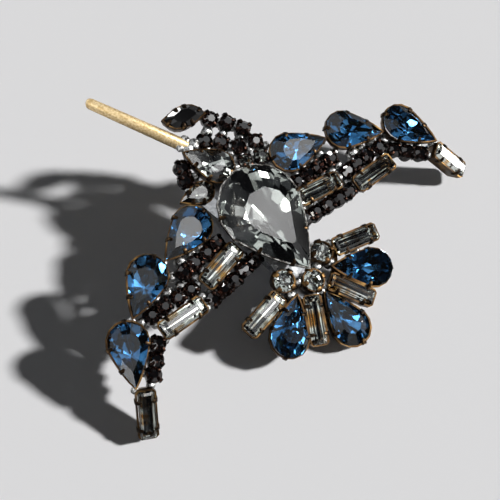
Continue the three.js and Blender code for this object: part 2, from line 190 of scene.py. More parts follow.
view = bpy.context.scene.view_settings
view.view_transform = "Standard"
view.look = "None"
print("surround nodes", len(room.nodes))

# %% [markdown]
# ## Finishes
# Each finish is named for the real stuff. The stones are lead glass: clear, high in refraction, polished by
# fire and wheel. Behind them is silver foil, a thin mirror, which is why paste stones look bright on top of
# dark metal. The long stones' foil has gone amber in patches. The settings are brass that has gone brown,
# with gold left in places, and the large one is tinned. The cups of the black stones are blackened copper.
# Solder is a soft silvery metal with a wrinkled skin. The beak is half-round brass wire, satin gilt. The
# patches are made with noise whose scale is a real size in millimetres, laid over each piece in its own
# space, because tarnish and lacquer lie in patches; the red-brown patches on the blackened copper are painted
# glints.

# %% A finish with one main shader
def finish(name, hex_code, **settings):
    """A new material with one Principled shader; each setting is a socket, with _ for a space."""
    made = bpy.data.materials.new(name)
    made.use_nodes = True
    shader = made.node_tree.nodes["Principled BSDF"]
    shader.inputs["Base Color"].default_value = colour(hex_code)
    for socket, value in settings.items():
        shader.inputs[socket.replace("_", " ")].default_value = value
    return made


def mottle(made, size_mm, stops, bump=0.0, roughness=None, detail=4.0):
    """Colour, roughness and bump that vary over patches of a real size, in object space."""
    tree = made.node_tree
    shader = tree.nodes["Principled BSDF"]
    place = add_node(tree, "ShaderNodeTexCoord")
    noise = add_node(
        tree, "ShaderNodeTexNoise", {"Vector": place.outputs["Object"]},
        Scale=1 / (size_mm * MM), Detail=detail)
    ramp = add_node(tree, "ShaderNodeValToRGB", {"Fac": noise.outputs["Fac"]})
    for element, (position, hex_code) in zip(ramp.color_ramp.elements, stops):
        element.position = position
        element.color = colour(hex_code)
    for position, hex_code in stops[2:]:
        ramp.color_ramp.elements.new(position).color = colour(hex_code)
    tree.links.new(ramp.outputs["Color"], shader.inputs["Base Color"])
    if roughness:
        rough = add_node(tree, "ShaderNodeMapRange", {"Value": noise.outputs["Fac"]})
        rough.inputs["To Min"].default_value, rough.inputs["To Max"].default_value = roughness
        tree.links.new(rough.outputs["Result"], shader.inputs["Roughness"])
    if bump:
        raised = add_node(
            tree, "ShaderNodeBump", {"Height": noise.outputs["Fac"]},
            Strength=bump, Distance=size_mm * MM * 0.5)
        tree.links.new(raised.outputs["Normal"], shader.inputs["Normal"])
    return made


# %% Glass
# Fire-polished lead glass: perfectly smooth, so the eye sees only what the facets fold into it.
CLEAR_GLASS = finish("clear lead glass", "#f4f6f4", Roughness=0.0, IOR=1.6, Transmission_Weight=1.0)
# The same, coloured in the melt with cobalt: the colour deepens where the light crosses it twice.
BLUE_GLASS = finish("sapphire blue glass", "#629fd2", Roughness=0.0, IOR=1.5, Transmission_Weight=1.0)
# Grey in the melt: half the light is lost, so the foil behind it looks pewter.
SMOKE_GLASS = finish("smoke grey glass", "#a9a9a6", Roughness=0.0, IOR=1.6, Transmission_Weight=1.0)
# Opaque black glass, polished: only its surface shows, as a few hard white reflections.
JET_GLASS = finish("jet black glass", "#060505", Roughness=0.06, IOR=1.55)
# Nearly opaque red-brown glass: black at a glance, with a brown glint where the foil shines through.
GARNET_GLASS = finish(
    "black-brown garnet glass", "#24130f", Roughness=0.0, IOR=1.7, Transmission_Weight=1.0)
print("kinds of glass", len(bpy.data.materials))

# %% Foil behind the glass
# Silver painted on the stone's back: a slightly uneven mirror.
SILVER_FOIL = mottle(
    finish("silver foil backing", "#c9cbc8", Metallic=1.0, Roughness=0.05), 4.0,
    [(0.36, "#c2c5c2"), (0.62, "#eceeea")], roughness=(0.02, 0.05), detail=1.0)
# The same foil after years of damp: amber where its lacquer has turned, still white elsewhere.
AGED_FOIL = mottle(
    finish("silver foil gone amber", "#c9cbc8", Metallic=1.0, Roughness=0.05), 3.0,
    [(0.34, "#8d7757"), (0.45, "#c6c9c5"), (0.58, "#f4f6f2"), (0.68, "#d0a25c")],
    roughness=(0.02, 0.06), detail=1.0)
# Foil under a thin blue lacquer: it cools the blue of the glass in front of it.
BLUE_FOIL = mottle(
    finish("blue lacquered foil", "#7fa9dd", Metallic=1.0, Roughness=0.05), 4.0,
    [(0.35, "#98adb8"), (0.62, "#cfdbe0")], roughness=(0.02, 0.05), detail=1.0)
print("kinds of glass and foil", len(bpy.data.materials))

# %% Metals
# Stamped brass sheet, browned with age: dark and dull, with broad patches of worn gold.
OLD_BRASS = mottle(
    finish("browned brass wall", "#6b4a24", Metallic=1.0, Roughness=0.4), 2.6,
    [(0.34, "#2a1e13"), (0.55, "#4a3722"), (0.74, "#86693f")], bump=0.08, roughness=(0.32, 0.5), detail=7.0)
# The burnished claws of the same sheet, blackened: nearly black lines over the stone, with a glint of brass.
CLAW_BRASS = mottle(
    finish("blackened brass claw", "#2b2118", Metallic=1.0, Roughness=0.35), 1.1,
    [(0.38, "#0f0b08"), (0.58, "#2b2118"), (0.72, "#7d6344")], bump=0.15, roughness=(0.3, 0.5))
# Stamped copper in a sulphur bath: black and slightly glossy, with red-brown patches that are painted glints.
BLACK_COPPER = mottle(
    finish("blackened copper", "#2a1a14", Metallic=1.0, Roughness=0.3), 0.8,
    [(0.42, "#060505"), (0.60, "#191210"), (0.74, "#5a3c2e")], bump=0.2, roughness=(0.2, 0.4))
# Tin and lead, frozen where they ran: silvery, wrinkled, grey in the creases.
SOLDER = mottle(
    finish("silver solder", "#b9bab8", Metallic=1.0, Roughness=0.3), 0.6,
    [(0.38, "#3f3d3b"), (0.6, "#bfc0be")], bump=0.6, roughness=(0.2, 0.42))
# Brass sheet dipped in tin: a silver rim that has gone dark in patches.
TINNED = mottle(
    finish("tinned brass", "#a9aaa8", Metallic=1.0, Roughness=0.3), 1.4,
    [(0.36, "#211d1a"), (0.52, "#66635f"), (0.7, "#adaeac")], bump=0.1, roughness=(0.2, 0.35))
# Drawn brass wire, gilt and brushed: a soft broad gleam. Its grain is coarser than the real one, to show.
GILT = mottle(
    finish("satin gilt brass", "#cdb483", Metallic=1.0, Roughness=0.4), 0.5,
    [(0.35, "#c9a974"), (0.65, "#f2dcae")], bump=0.2, roughness=(0.36, 0.5))
# Pressed spring steel, nickel plated: bright, even and a little blurred.
STEEL = mottle(
    finish("nickel plated spring steel", "#b4b6b8", Metallic=1.0, Roughness=0.28), 0.7,
    [(0.35, "#9c9ea0"), (0.65, "#c3c5c7")], bump=0.05, roughness=(0.22, 0.38))
print("finishes", len(bpy.data.materials))

# %% Floor
bpy.ops.mesh.primitive_plane_add(size=3.0, location=(0, 0, 0))
floor = bpy.context.object
floor.name = "floor"
# Bleached cotton, pressed flat: matt and pale, with no gleam to compete with the stones.
CLOTH = finish("pale matt cloth", "#e4e5e8", Roughness=0.9)
floor.data.materials.append(CLOTH)
print("floor", floor.dimensions.x, "metres across")

# %% [markdown]
# ## Where each stone sits
# A stone in the frame is a plain block: table, girdle, point. Its table is its largest flat facet that faces
# up, so the stone's upward direction is that facet's normal, and its long direction is the long axis of its
# girdle. From these comes a seat: a place, three directions and the measured size, which is all that a
# detailed stone needs.

# %% Reading a node's flat facets
SLIVER = 1e-6 * MM * MM                             # a triangle this small has no sure normal
PARALLEL = 0.9995                                   # cosine between two normals of one facet
IN_PLANE = 0.02 * MM


def flat_facets(node):
    """The flat facets of a CAD node, largest first, each with its area, normal and corner points."""
    mesh, found = node.data, []
    for polygon in mesh.polygons:
        if polygon.area < SLIVER:
            continue
        points = [mesh.vertices[i].co.copy() for i in polygon.vertices]
        for facet in found:
            offset = abs((points[0] - facet["points"][0]).dot(facet["normal"]))
            if facet["normal"].dot(polygon.normal) > PARALLEL and offset < IN_PLANE:
                facet["area"] += polygon.area
                facet["points"] += points
                break
        else:
            found.append({"area": polygon.area, "normal": polygon.normal.copy(), "points": points})
    return sorted(found, key=lambda facet: -facet["area"])


# %% Reading a stone's seat
LEVEL_GAP = 0.15                                    # heights of a stone closer than this are one, mm
FACES_THE_SKY = 0.3                                 # a table's normal rises at least this much


def levels(values):
    """The different heights, in mm, in a list with many near repeats."""
    found = []
    for value in sorted(values):
        if not found or value - found[-1] > LEVEL_GAP:
            found.append(value)
    return found


def seat_of(name):
    """Where a stone sits: its matrix (X to its tip, Z out of its table, metres), outline and heights (mm)."""
    node = nodes[name]
    table = next(facet for facet in flat_facets(node) if facet["normal"].z > FACES_THE_SKY)
    up = table["normal"]
    points = [vertex.co for vertex in node.data.vertices]
    heights = levels([p.dot(up) / MM for p in points])
    culet, girdle, top = heights[0], (heights[-3] + heights[-2]) / 2, heights[-1]
    ring = [p for p in points if abs(p.dot(up) / MM - heights[-2]) < LEVEL_GAP / 2]
    middle = sum(ring, Vector()) / len(ring)
    side = up.orthogonal().normalized()
    across = up.cross(side)
    flat = np.array([[(p - middle).dot(side), (p - middle).dot(across)] for p in ring])
    vectors = np.linalg.eigh(flat.T @ flat)[1]
    along = (side * vectors[0, 1] + across * vectors[1, 1]).normalized()
    widest = max(ring, key=lambda p: abs((p - middle).dot(up.cross(along))))
    reach = [(p - middle).dot(along) for p in ring]
    if (widest - middle).dot(along) > (max(reach) + min(reach)) / 2:  # the widest place is at the round end
        along = -along
        reach = [-r for r in reach]
    left = up.cross(along)
    widths = [(p - middle).dot(left) for p in ring]
    middle = middle + along * (max(reach) + min(reach)) / 2 + left * (max(widths) + min(widths)) / 2
    middle = middle + up * (girdle * MM - middle.dot(up))
    offsets = [p - middle for p in ring]
    corners = {(round(offset.dot(along) / MM, 2), round(offset.dot(left) / MM, 2)) for offset in offsets}
    outline = sorted(corners, key=lambda corner: math.atan2(corner[1], corner[0]))
    matrix = Matrix((along, left, up)).transposed().to_4x4()
    matrix.translation = middle
    return {"matrix": matrix, "outline": outline, "crown": top - girdle, "depth": girdle - culet}


stone_names = sorted(name for name in nodes if name.endswith("_stone"))
seats = {name: seat_of(name) for name in stone_names}
print("stones read", len(seats), {round(max(x for x, y in s["outline"]) * 2, 1) for s in seats.values()})

# %% [markdown]
# ## Cutting a stone
# A cutter presses a rough blank against a flat wheel, once for each facet. The same is done here: the blank
# is the stone's outline drawn up into a prism, and each facet is one bisect that cuts away all that is
# outside it. The cuts are told by their direction round the stone and by how far in they are at two
# heights, so that one recipe fits any outline. The glass is cut as one closed body; its lower facets get
# the foil, the upper ones the glass.

# %% The cutting wheel
def select_nothing():
    """Deselects every object, so that an operator acts only on what is selected next."""
    for thing in bpy.context.selected_objects:
        thing.select_set(False)


def edit(thing):
    """Makes an object the only one selected and opens it for editing, all selected."""
    select_nothing()
    thing.select_set(True)
    bpy.context.view_layer.objects.active = thing
    bpy.ops.object.mode_set(mode="EDIT")
    bpy.ops.mesh.select_all(action="SELECT")


def close_edit():
    """Turns every face outwards and leaves edit mode."""
    bpy.ops.mesh.select_all(action="SELECT")
    bpy.ops.mesh.normals_make_consistent(inside=False)
    bpy.ops.object.mode_set(mode="OBJECT")


def prism(name, outline, low, high):
    """A blank: an outline, in mm, drawn up from low to high."""
    select_nothing()
    bpy.ops.mesh.primitive_circle_add(vertices=len(outline), radius=1, fill_type="NGON")
    blank = bpy.context.object
    blank.name = name
    for vertex, (x, y) in zip(blank.data.vertices, outline):
        vertex.co = (x, y, low)
    edit(blank)
    bpy.ops.mesh.extrude_region_move(TRANSFORM_OT_translate={"value": (0, 0, high - low)})
    close_edit()
    return blank


random.seed(11)
WOBBLE = 1.6                                        # degrees by which a hand-held stone is off its direction
CUT_THRESHOLD = 0.0005                              # corners this near a cut lie on it, mm
FOIL_BELOW = -0.1                                   # facets that face further down than this have the foil


def cut(outline, azimuth, near, far):
    """One facet; near and far, (share of the outline's reach, height), are two lines that it holds."""
    a = math.radians(azimuth + random.uniform(-WOBBLE, WOBBLE))
    reach = max(x * math.cos(a) + y * math.sin(a) for x, y in outline)
    outward = abs(far[1] - near[1])
    upward = (near[0] - far[0]) * reach * (1 if far[1] > near[1] else -1)
    facing = Vector((outward * math.cos(a), outward * math.sin(a), upward)).normalized()
    bpy.ops.mesh.select_all(action="SELECT")
    bpy.ops.mesh.bisect(
        plane_co=(reach * near[0] * math.cos(a), reach * near[0] * math.sin(a), near[1]), plane_no=facing,
        use_fill=True, clear_outer=True, threshold=CUT_THRESHOLD)


def cut_stone(name, outline, crown, depth, cuts, glass, foil):
    """A faceted stone from cuts (directions, near, far), heights as shares of its crown or depth."""
    stone = prism(name, outline, -depth, crown)
    edit(stone)
    for directions, near, far in cuts:
        scale = crown if far[1] > 0 else depth
        for azimuth in directions:
            cut(outline, azimuth, (near[0], near[1] * scale), (far[0], far[1] * scale))
    close_edit()
    stone.data.materials.append(glass)
    stone.data.materials.append(foil)
    for polygon in stone.data.polygons:
        polygon.material_index = 1 if polygon.normal.z < FOIL_BELOW else 0
        polygon.use_smooth = False
    print(name, "facets", len(stone.data.polygons))
    return stone


# %% [markdown]
# ## The shapes of stone
# The facets of each shape are a short list of directions, in degrees round the stone from its point, each
# with the two lines that its facets hold: (share of the outline's reach, share of the height). A pear is
# cut with large facets down its straight sides, smaller ones round its end and one at the point. A navette
# is a boat shape. A baguette is cut in steps, long flat strips that show as parallel stripes. The round
# chatons are small brilliants. The stone in the middle has a large table and a few big facets.

# %% One stone of each shape
PEAR_MAINS = (0, 57, 73, 103, 141, 180, -141, -103, -73, -57)
PEAR_BETWEEN = (28, 65, 88, 122, 161, -161, -122, -88, -65, -28)
ROUND_MAINS = tuple(range(0, 360, 45))
ROUND_BETWEEN = tuple(angle + 22.5 for angle in ROUND_MAINS)

PEAR_CUTS = [
    (PEAR_MAINS, (1.0, 0.12), (0.56, 1.0)),
    (PEAR_BETWEEN, (0.93, 0.42), (0.58, 1.0)),
    (PEAR_BETWEEN, (1.0, 0.08), (0.86, 0.62)),
    (PEAR_MAINS, (1.0, -0.06), (0.06, -1.0)),
    (PEAR_BETWEEN, (1.0, -0.05), (0.5, -0.62)),
]
CENTRE_CUTS = [
    ((0, 61, 92, 128, 170, -150, -112, -78, -58), (0.99, 0.10), (0.52, 1.0)),
    ((32, 76, 108, 150, -170, -130, -95, -68, -30), (0.84, 0.48), (0.56, 1.0)),
    (PEAR_BETWEEN, (1.0, 0.04), (0.88, 0.44)),
    (PEAR_MAINS, (1.0, -0.04), (0.03, -1.0)),
    (PEAR_BETWEEN, (1.0, -0.03), (0.55, -0.62)),
    (PEAR_MAINS, (0.42, -0.62), (0.02, -0.93)),
]
ROUND_CUTS = [
    (ROUND_MAINS, (1.0, 0.10), (0.46, 1.0)),
    (ROUND_BETWEEN, (0.88, 0.50), (0.50, 1.0)),
    (ROUND_MAINS, (1.0, -0.06), (0.05, -1.0)),
    (ROUND_BETWEEN, (1.0, -0.05), (0.5, -0.6)),
]
STEP_CUTS = [
    ((90, -90), (1.0, 0.10), (0.80, 0.62)),
    ((90, -90), (0.82, 0.60), (0.50, 1.0)),
    ((0, 180), (1.0, 0.10), (0.93, 0.62)),
    ((0, 180), (0.94, 0.60), (0.84, 1.0)),
    ((90, -90), (1.0, -0.08), (0.62, -0.62)),
    ((90, -90), (0.64, -0.60), (0.08, -1.0)),
    ((0, 180), (1.0, -0.08), (0.84, -0.62)),
    ((0, 180), (0.86, -0.60), (0.72, -1.0)),
]

OVER_RIM = 0.4                                      # a stone's edge rests on the rim, this far out and up, mm


def model_of(name, sample, cuts, glass, foil, depth=1.0, crown=1.0):
    """The one stone that all its copies come from; depth and crown are shares of a sample seat's."""
    seat = seats[sample]
    wide = [tuple(Vector(corner) + Vector(corner).normalized() * OVER_RIM) for corner in seat["outline"]]
    stone = cut_stone(name, wide, seat["crown"] * crown, seat["depth"] * depth, cuts, glass, foil)
    stone.data.transform(Matrix.Translation((0, 0, OVER_RIM)))
    return stone


models = {
    "wing pear": model_of(
        "model_pear", "right_wing_inner_pear_stone", PEAR_CUTS, BLUE_GLASS, BLUE_FOIL, depth=1.42),
    "centre": model_of(
        "model_centre", "centre_stone", CENTRE_CUTS, CLEAR_GLASS, SILVER_FOIL, depth=1.28, crown=0.85),
    "throat": model_of("model_throat", "throat_stone", PEAR_CUTS, CLEAR_GLASS, SILVER_FOIL),
    "cheek": model_of("model_cheek", "cheek_stone", PEAR_CUTS, SMOKE_GLASS, SILVER_FOIL),
    "navette": model_of("model_navette", "crest_navette_stone", PEAR_CUTS, JET_GLASS, JET_GLASS),
    "baguette": model_of(
        "model_baguette", "right_wing_inner_baguette_stone", STEP_CUTS, CLEAR_GLASS, AGED_FOIL),
}

# %% Placing copies
random.seed(7)


def copy_of(model, name, matrices):
    """Copies of a model, in mm, set at each matrix, in metres, as one piece with its own mesh."""
    parts = []
    for matrix in matrices:
        part = model.copy()
        part.data = model.data.copy()
        part.data.transform(matrix @ Matrix.Scale(MM, 4))
        bpy.context.collection.objects.link(part)
        parts.append(part)
    select_nothing()
    for part in parts:
        part.select_set(True)
    bpy.context.view_layer.objects.active = parts[0]
    if len(parts) > 1:
        bpy.ops.object.join()
    parts[0].name = name
    return parts[0]


def leaned(matrix, along, across):
    """A seat leaned by a few degrees about its long way and about its width, as hand-set stones are."""
    lean = Matrix.Rotation(math.radians(along), 4, "X") @ Matrix.Rotation(math.radians(across), 4, "Y")
    return matrix @ lean


# %% Set the faceted stones
def shape_of(name):
    """Which model a stone is a copy of."""
    for shape in ("centre", "throat", "cheek", "navette", "baguette"):
        if shape in name:
            return shape
    return "wing pear"


LEANS = {                                           # degrees about a stone's long way and about its width
    "right_wing_tip_baguette_stone": (0, 0),
    "left_wing_tip_baguette_stone": (3, 1),
    "right_wing_inner_pear_stone": (3, -1),
    "right_wing_middle_pear_stone": (4, 2),
    "right_wing_outer_pear_stone": (-7, 3),
    "left_wing_inner_pear_stone": (0, 0),
    "left_wing_middle_pear_stone": (8, 3),
    "left_wing_outer_pear_stone": (7, -6),
    "tail_middle_pear_stone": (7, -5),
    "tail_right_pear_stone": (-7, 6),
    "tail_left_pear_stone": (6, 5),
}
BAGUETTE_LEAN = (4, 2)                              # the most that other baguettes lean by chance, degrees
record_slot = {part["node"]: part["material_slot"] for part in frame["record"]["subparts"]}
for name in stone_names:
    chance = [random.uniform(-most, most) for most in BAGUETTE_LEAN] if "baguette" in name else (0, 0)
    matrix = leaned(seats[name]["matrix"], *LEANS.get(name, chance))
    stone = copy_of(models[shape_of(name)], name.replace("_stone", "_cut_glass"), [matrix])
    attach(stone, "bird")
    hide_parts(name)
print("stones set", len(stone_names))

# %% [markdown]
# ## Claws
# A claw is a tongue of the setting's own sheet, pushed over the edge of the stone with a burnisher. It
# starts on the wall, leans in over the girdle and thins to a rounded end. One is bent here from a small
# block by drawing its top face out three times, then it is copied round each stone where a setter would
# leave one.

# %% One claw
UP = Vector((0, 0, 1))
FLAT_ON = 0.9                                       # cosine between a cap's normal and the wanted direction
SMOOTH_BELOW = math.radians(50)                     # edges that turn more than this stay crisp
ROOT_DROP = 0.6                                     # how far a claw's root block is below its origin, mm
SOFTENED = 0.07                                     # width of the bevel on a claw's edges, mm
CLAW_WIDTH, CLAW_THICK = 0.95, 0.42                 # mm
CLAW_STEPS = ((0.12, 0.42, 0.95), (0.42, 0.38, 0.85), (0.5, 0.12, 0.7))


def select_cap(thing, way):
    """In edit mode, selects only the flat end of a piece that faces a direction."""
    bpy.ops.mesh.select_mode(type="FACE")
    bpy.ops.mesh.select_all(action="DESELECT")
    bpy.ops.object.mode_set(mode="OBJECT")
    for polygon in thing.data.polygons:
        polygon.select = polygon.normal.dot(way) > FLAT_ON
    bpy.ops.object.mode_set(mode="EDIT")


def bent_tongue(name, width, thick, steps):
    """A tapering bent strip from a block; steps are (inward, up, share of the width) in mm."""
    select_nothing()
    bpy.ops.mesh.primitive_cube_add(size=1, location=(0, 0, 0))
    tongue = bpy.context.object
    tongue.name = name
    for vertex in tongue.data.vertices:
        vertex.co = (vertex.co.x * thick + thick / 2, vertex.co.y * width, vertex.co.z - ROOT_DROP)
    edit(tongue)
    select_cap(tongue, UP)
    for inward, up, share in steps:
        bpy.ops.mesh.extrude_region_move(TRANSFORM_OT_translate={"value": (-inward, 0, up)})
        bpy.ops.transform.resize(value=(share, share, share))
    bpy.ops.mesh.select_all(action="SELECT")
    bpy.ops.mesh.bevel(offset=SOFTENED, segments=1, affect="EDGES")
    close_edit()
    bpy.ops.object.shade_smooth_by_angle(angle=SMOOTH_BELOW)
    print(name, "faces", len(tongue.data.polygons))
    return tongue


models["claw"] = bent_tongue("model_claw", CLAW_WIDTH, CLAW_THICK, CLAW_STEPS)
models["claw"].data.materials.append(CLAW_BRASS)

# %% Where the claws go
PEAR_CLAWS = (180, 112, -112, 34, -34)              # degrees round the stone, from its point
CENTRE_CLAWS = (165, 100, -128, 40, -60, -12)
NAVETTE_CLAWS = (0, 60, 120, 180, -60, -120)
BAGUETTE_CLAWS = 0.62                               # how far towards a baguette's ends they are, as a share
CLAW_OUT, CLAW_UP = 0.34, 0.42                      # how far outside and above the stone's edge it bends, mm
PARALLEL_EDGE = 1e-9                                # an edge this near the ray's direction has no crossing
CORNER_ROOM = 1e-6                                  # so that a ray through a corner meets one of its edges


def edge_at(outline, angle):
    """The point of an outline in a direction from its middle, and the direction that its edge faces there."""
    ray = Vector((math.cos(math.radians(angle)), math.sin(math.radians(angle))))
    for (x, y), (u, v) in zip(outline, outline[1:] + outline[:1]):
        start, side = Vector((x, y)), Vector((u - x, v - y))
        denominator = ray.x * side.y - ray.y * side.x
        if abs(denominator) < PARALLEL_EDGE:
            continue
        distance = (start.x * side.y - start.y * side.x) / denominator
        share = (start.x * ray.y - start.y * ray.x) / denominator
        if distance > 0 and -CORNER_ROOM <= share <= 1 + CORNER_ROOM:
            return ray * distance, math.atan2(-side.x, side.y)
    raise ValueError(angle)


def claw_matrices(seat, angles):
    """The places of the claws of one stone, in metres."""
    found = []
    for angle in angles:
        point, facing = edge_at(seat["outline"], angle)
        out = Vector((math.cos(facing), math.sin(facing))) * CLAW_OUT
        root = Matrix.Translation((point.x + out.x, point.y + out.y, CLAW_UP))
        local = root @ Matrix.Rotation(facing, 4, "Z")
        found.append(seat["matrix"] @ Matrix.Scale(MM, 4) @ local @ Matrix.Scale(1 / MM, 4))
    return found


def claw_angles(name, outline):
    """Where a setter leaves claws round a stone, in degrees from its point."""
    if "baguette" in name:
        x, y = max(x for x, y in outline) * BAGUETTE_CLAWS, max(y for x, y in outline)
        corner = math.degrees(math.atan2(y, x))
        return (corner, 180 - corner, corner - 180, -corner)
    if "navette" in name:
        return NAVETTE_CLAWS
    return CENTRE_CLAWS if "centre" in name else PEAR_CLAWS


for name, seat in seats.items():
    places = claw_matrices(seat, claw_angles(name, seat["outline"]))
    claws = copy_of(models["claw"], name.replace("_stone", "_claws"), places)
    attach(claws, "bird")
print("claws round", len(seats), "stones")

# %% [markdown]
# ## Round stones in cups
# The black lines of the bird are round stones about three millimetres across, each in a stamped cup with
# four claws. The cups are modelled from a short tube: the top is inset and sunk to take the stone, the
# bottom drawn down and in. No two stones face quite the same way, which is what makes a row sparkle, so
# each is leaned a little.

# %% Where the cups are
BIRD_UP = seats["centre_stone"]["matrix"].to_3x3().col[2].copy()
FACES_UP = 0.99                                     # cosine between a facet's normal and the bird's
TOP_BAND = 0.1 * MM


def cup_seats(name):
    """The seats of a row's cups: each has a flat top facet, all at one height above the bird's plane."""
    mesh = nodes[name].data
    flat = [polygon for polygon in mesh.polygons if polygon.normal.dot(BIRD_UP) > FACES_UP]
    top = max(polygon.center.dot(BIRD_UP) for polygon in flat)
    groups = []
    for polygon in flat:
        if top - polygon.center.dot(BIRD_UP) > TOP_BAND:
            continue
        corners = {tuple(round(c, 5) for c in mesh.vertices[i].co) for i in polygon.vertices}
        near = [group for group in groups if group & corners]
        groups = [group for group in groups if group not in near] + [corners.union(*near)]
    centres = [sum((Vector(c) for c in group), Vector()) / len(group) for group in groups]
    centres.sort(key=lambda c: (c.x, c.y))
    found = []
    for index, centre in enumerate(centres):
        other = centres[index + 1] if index + 1 < len(centres) else centres[index - 1]
        along = other - centre
        along = (along - BIRD_UP * along.dot(BIRD_UP)).normalized()
        matrix = Matrix((along, BIRD_UP.cross(along), BIRD_UP)).transposed().to_4x4()
        matrix.translation = centre
        found.append(matrix)
    return found


row_names = sorted(name for name in nodes if name.endswith("_row") or name == "tail_root_chatons")
rows = {name: cup_seats(name) for name in row_names}
print("cups", {name: len(found) for name, found in rows.items()})

# %% One cup with its claws
TUBE = 1.6                                          # height of the straight part of a cup, mm
SHOULDER = 1.13                                     # the cup's radius, as a share of its stone's
WALL = 0.12                                         # its wall, as a share of that radius
FOOT = 0.88                                         # its foot's width, as a share of the tube's
RIM_DROP = 0.85                                     # how far down the crown the rim is
CUP_CLAW = 0.85 / 1.5                               # a claw's width, as a share of the radius
CUP_CLAW_THICK = 0.5                                # mm
CUP_CLAW_OUT, CUP_CLAW_UP = 1.06, 0.12              # share of the radius, mm above the rim
CUP_CLAW_STEPS = ((0.05, 0.3, 0.95), (0.36, 0.34, 0.85), (0.36, 0.08, 0.75))


def cup_model(name, radius, crown, height, hollow, metal):
    """A cup under a stone whose table is at zero, down to -height."""
    select_nothing()
    rim = -crown * RIM_DROP
    bpy.ops.mesh.primitive_cylinder_add(vertices=14, radius=radius * SHOULDER, depth=TUBE, location=(0, 0, 0))
    cup = bpy.context.object
    cup.name = name
    for vertex in cup.data.vertices:
        vertex.co.z += rim - TUBE / 2
    edit(cup)
    select_cap(cup, -UP)
    bpy.ops.mesh.extrude_region_move(TRANSFORM_OT_translate={"value": (0, 0, -(height + rim - TUBE))})
    bpy.ops.transform.resize(value=(FOOT, FOOT, 1))
    select_cap(cup, UP)
    bpy.ops.mesh.inset(thickness=radius * WALL)
    bpy.ops.mesh.extrude_region_move(TRANSFORM_OT_translate={"value": (0, 0, -hollow)})
    close_edit()
    parts = [cup]
    for k in range(4):
        claw = bent_tongue(name + "_claw", CUP_CLAW * radius, CUP_CLAW_THICK, CUP_CLAW_STEPS)
        corner = Matrix.Rotation(math.radians(45 + 90 * k), 4, "Z")
        claw.data.transform(corner @ Matrix.Translation((radius * CUP_CLAW_OUT, 0, rim + CUP_CLAW_UP)))
        parts.append(claw)
    select_nothing()
    for part in parts:
        part.select_set(True)
    bpy.context.view_layer.objects.active = cup
    bpy.ops.object.join()
    cup.data.materials.clear()
    cup.data.materials.append(metal)
    print(name, "faces", len(cup.data.polygons))
    return cup


# %% Round stones and both sizes of cup
def ring_outline(radius, sides):
    """The corners of a round outline, in mm."""
    turns = [2 * math.pi * k / sides for k in range(sides)]
    return [(radius * math.cos(turn), radius * math.sin(turn)) for turn in turns]


def chaton_stone(name, radius, crown, depth, glass):
    """A round brilliant with its table at zero."""
    stone = cut_stone(name, ring_outline(radius, 16), crown, depth, ROUND_CUTS, glass, SILVER_FOIL)
    stone.data.transform(Matrix.Translation((0, 0, -crown)))
    return stone


models["jet chaton"] = chaton_stone("model_jet_chaton", 1.58, 0.8, 1.2, GARNET_GLASS)
models["smoke chaton"] = chaton_stone("model_smoke_chaton", 1.52, 0.8, 1.2, SMOKE_GLASS)
models["clear chaton"] = chaton_stone("model_clear_chaton", 2.4, 1.1, 1.9, CLEAR_GLASS)
models["small cup"] = cup_model("model_small_cup", 1.5, 0.8, 3.6, 1.4, BLACK_COPPER)
models["tail cup"] = cup_model("model_tail_cup", 2.3, 1.1, 4.3, 2.1, OLD_BRASS)

# %% Set the rows
ROW_STONES = {"tail_root_chatons": "clear chaton", "collar_row": "smoke chaton"}
CUP_LEAN = (4, 13)                                  # how far a cup leans, degrees
CUP_SPIN = 0.3                                      # how far it is turned, at most, radians
STONE_LEAN = 5                                      # how far its stone leans in it, at most, degrees

for name, found in rows.items():
    tail_row = name == "tail_root_chatons"
    turned = []
    for seat in found:
        lean, way = random.uniform(*CUP_LEAN), random.uniform(0, 2 * math.pi)
        spin = Matrix.Rotation(random.uniform(-CUP_SPIN, CUP_SPIN), 4, "Z")
        turned.append(leaned(seat, lean * math.cos(way), lean * math.sin(way)) @ spin)
    cups = copy_of(models["tail cup" if tail_row else "small cup"], name + "_cups", turned)
    in_cups = []
    for seat in turned:
        along, across = random.uniform(-STONE_LEAN, STONE_LEAN), random.uniform(-STONE_LEAN, STONE_LEAN)
        in_cups.append(leaned(seat, along, across))
    stones = copy_of(models[ROW_STONES.get(name, "jet chaton")], name + "_stones", in_cups)
    for piece, slot in ((cups, "antique_brass" if tail_row else "jet_glass"), (stones, record_slot[name])):
        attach(piece, "bird")
        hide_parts(name)
print("rows set", len(rows))

# %% [markdown]
# ## Solder
# Every setting nearly touches its neighbours, and solder joins each pair: it runs into the gap and freezes
# there as a small wrinkled lump. So the beads are placed by measuring: wherever the rims of two settings
# come within a couple of millimetres, one bead is put between them near the rim, and one nearer the back.

# %% One bead
BEAD_HEIGHT, BEAD_ROUGHNESS = 0.72, 0.16            # shares of its radius


def bead_model():
    """A flattened, wrinkled lump of radius 1."""
    select_nothing()
    bpy.ops.mesh.primitive_ico_sphere_add(subdivisions=2, radius=1)
    bead = bpy.context.object
    bead.name = "model_bead"
    edit(bead)
    bpy.ops.transform.resize(value=(1, 1, BEAD_HEIGHT))
    bpy.ops.transform.vertex_random(offset=BEAD_ROUGHNESS, seed=5)
    close_edit()
    bpy.ops.object.shade_smooth()
    bead.data.materials.append(SOLDER)
    print("bead faces", len(bead.data.polygons))
    return bead


models["bead"] = bead_model()

# %% Measure where settings meet
SHEET = 0.5                                         # wall and clearance outside a girdle, mm
SPACING = 0.7                                       # between the points that stand for a rim, mm
JOINED_WITHIN = 2.4                                 # settings whose rims are this near are soldered, mm
STONE_RIM, CUP_RIM = 0.9, 1.6                       # how far the rims are below a girdle or a round table, mm
CUP_RADIUS, TAIL_CUP_RADIUS = 1.15, 2.0             # mm, without the sheet


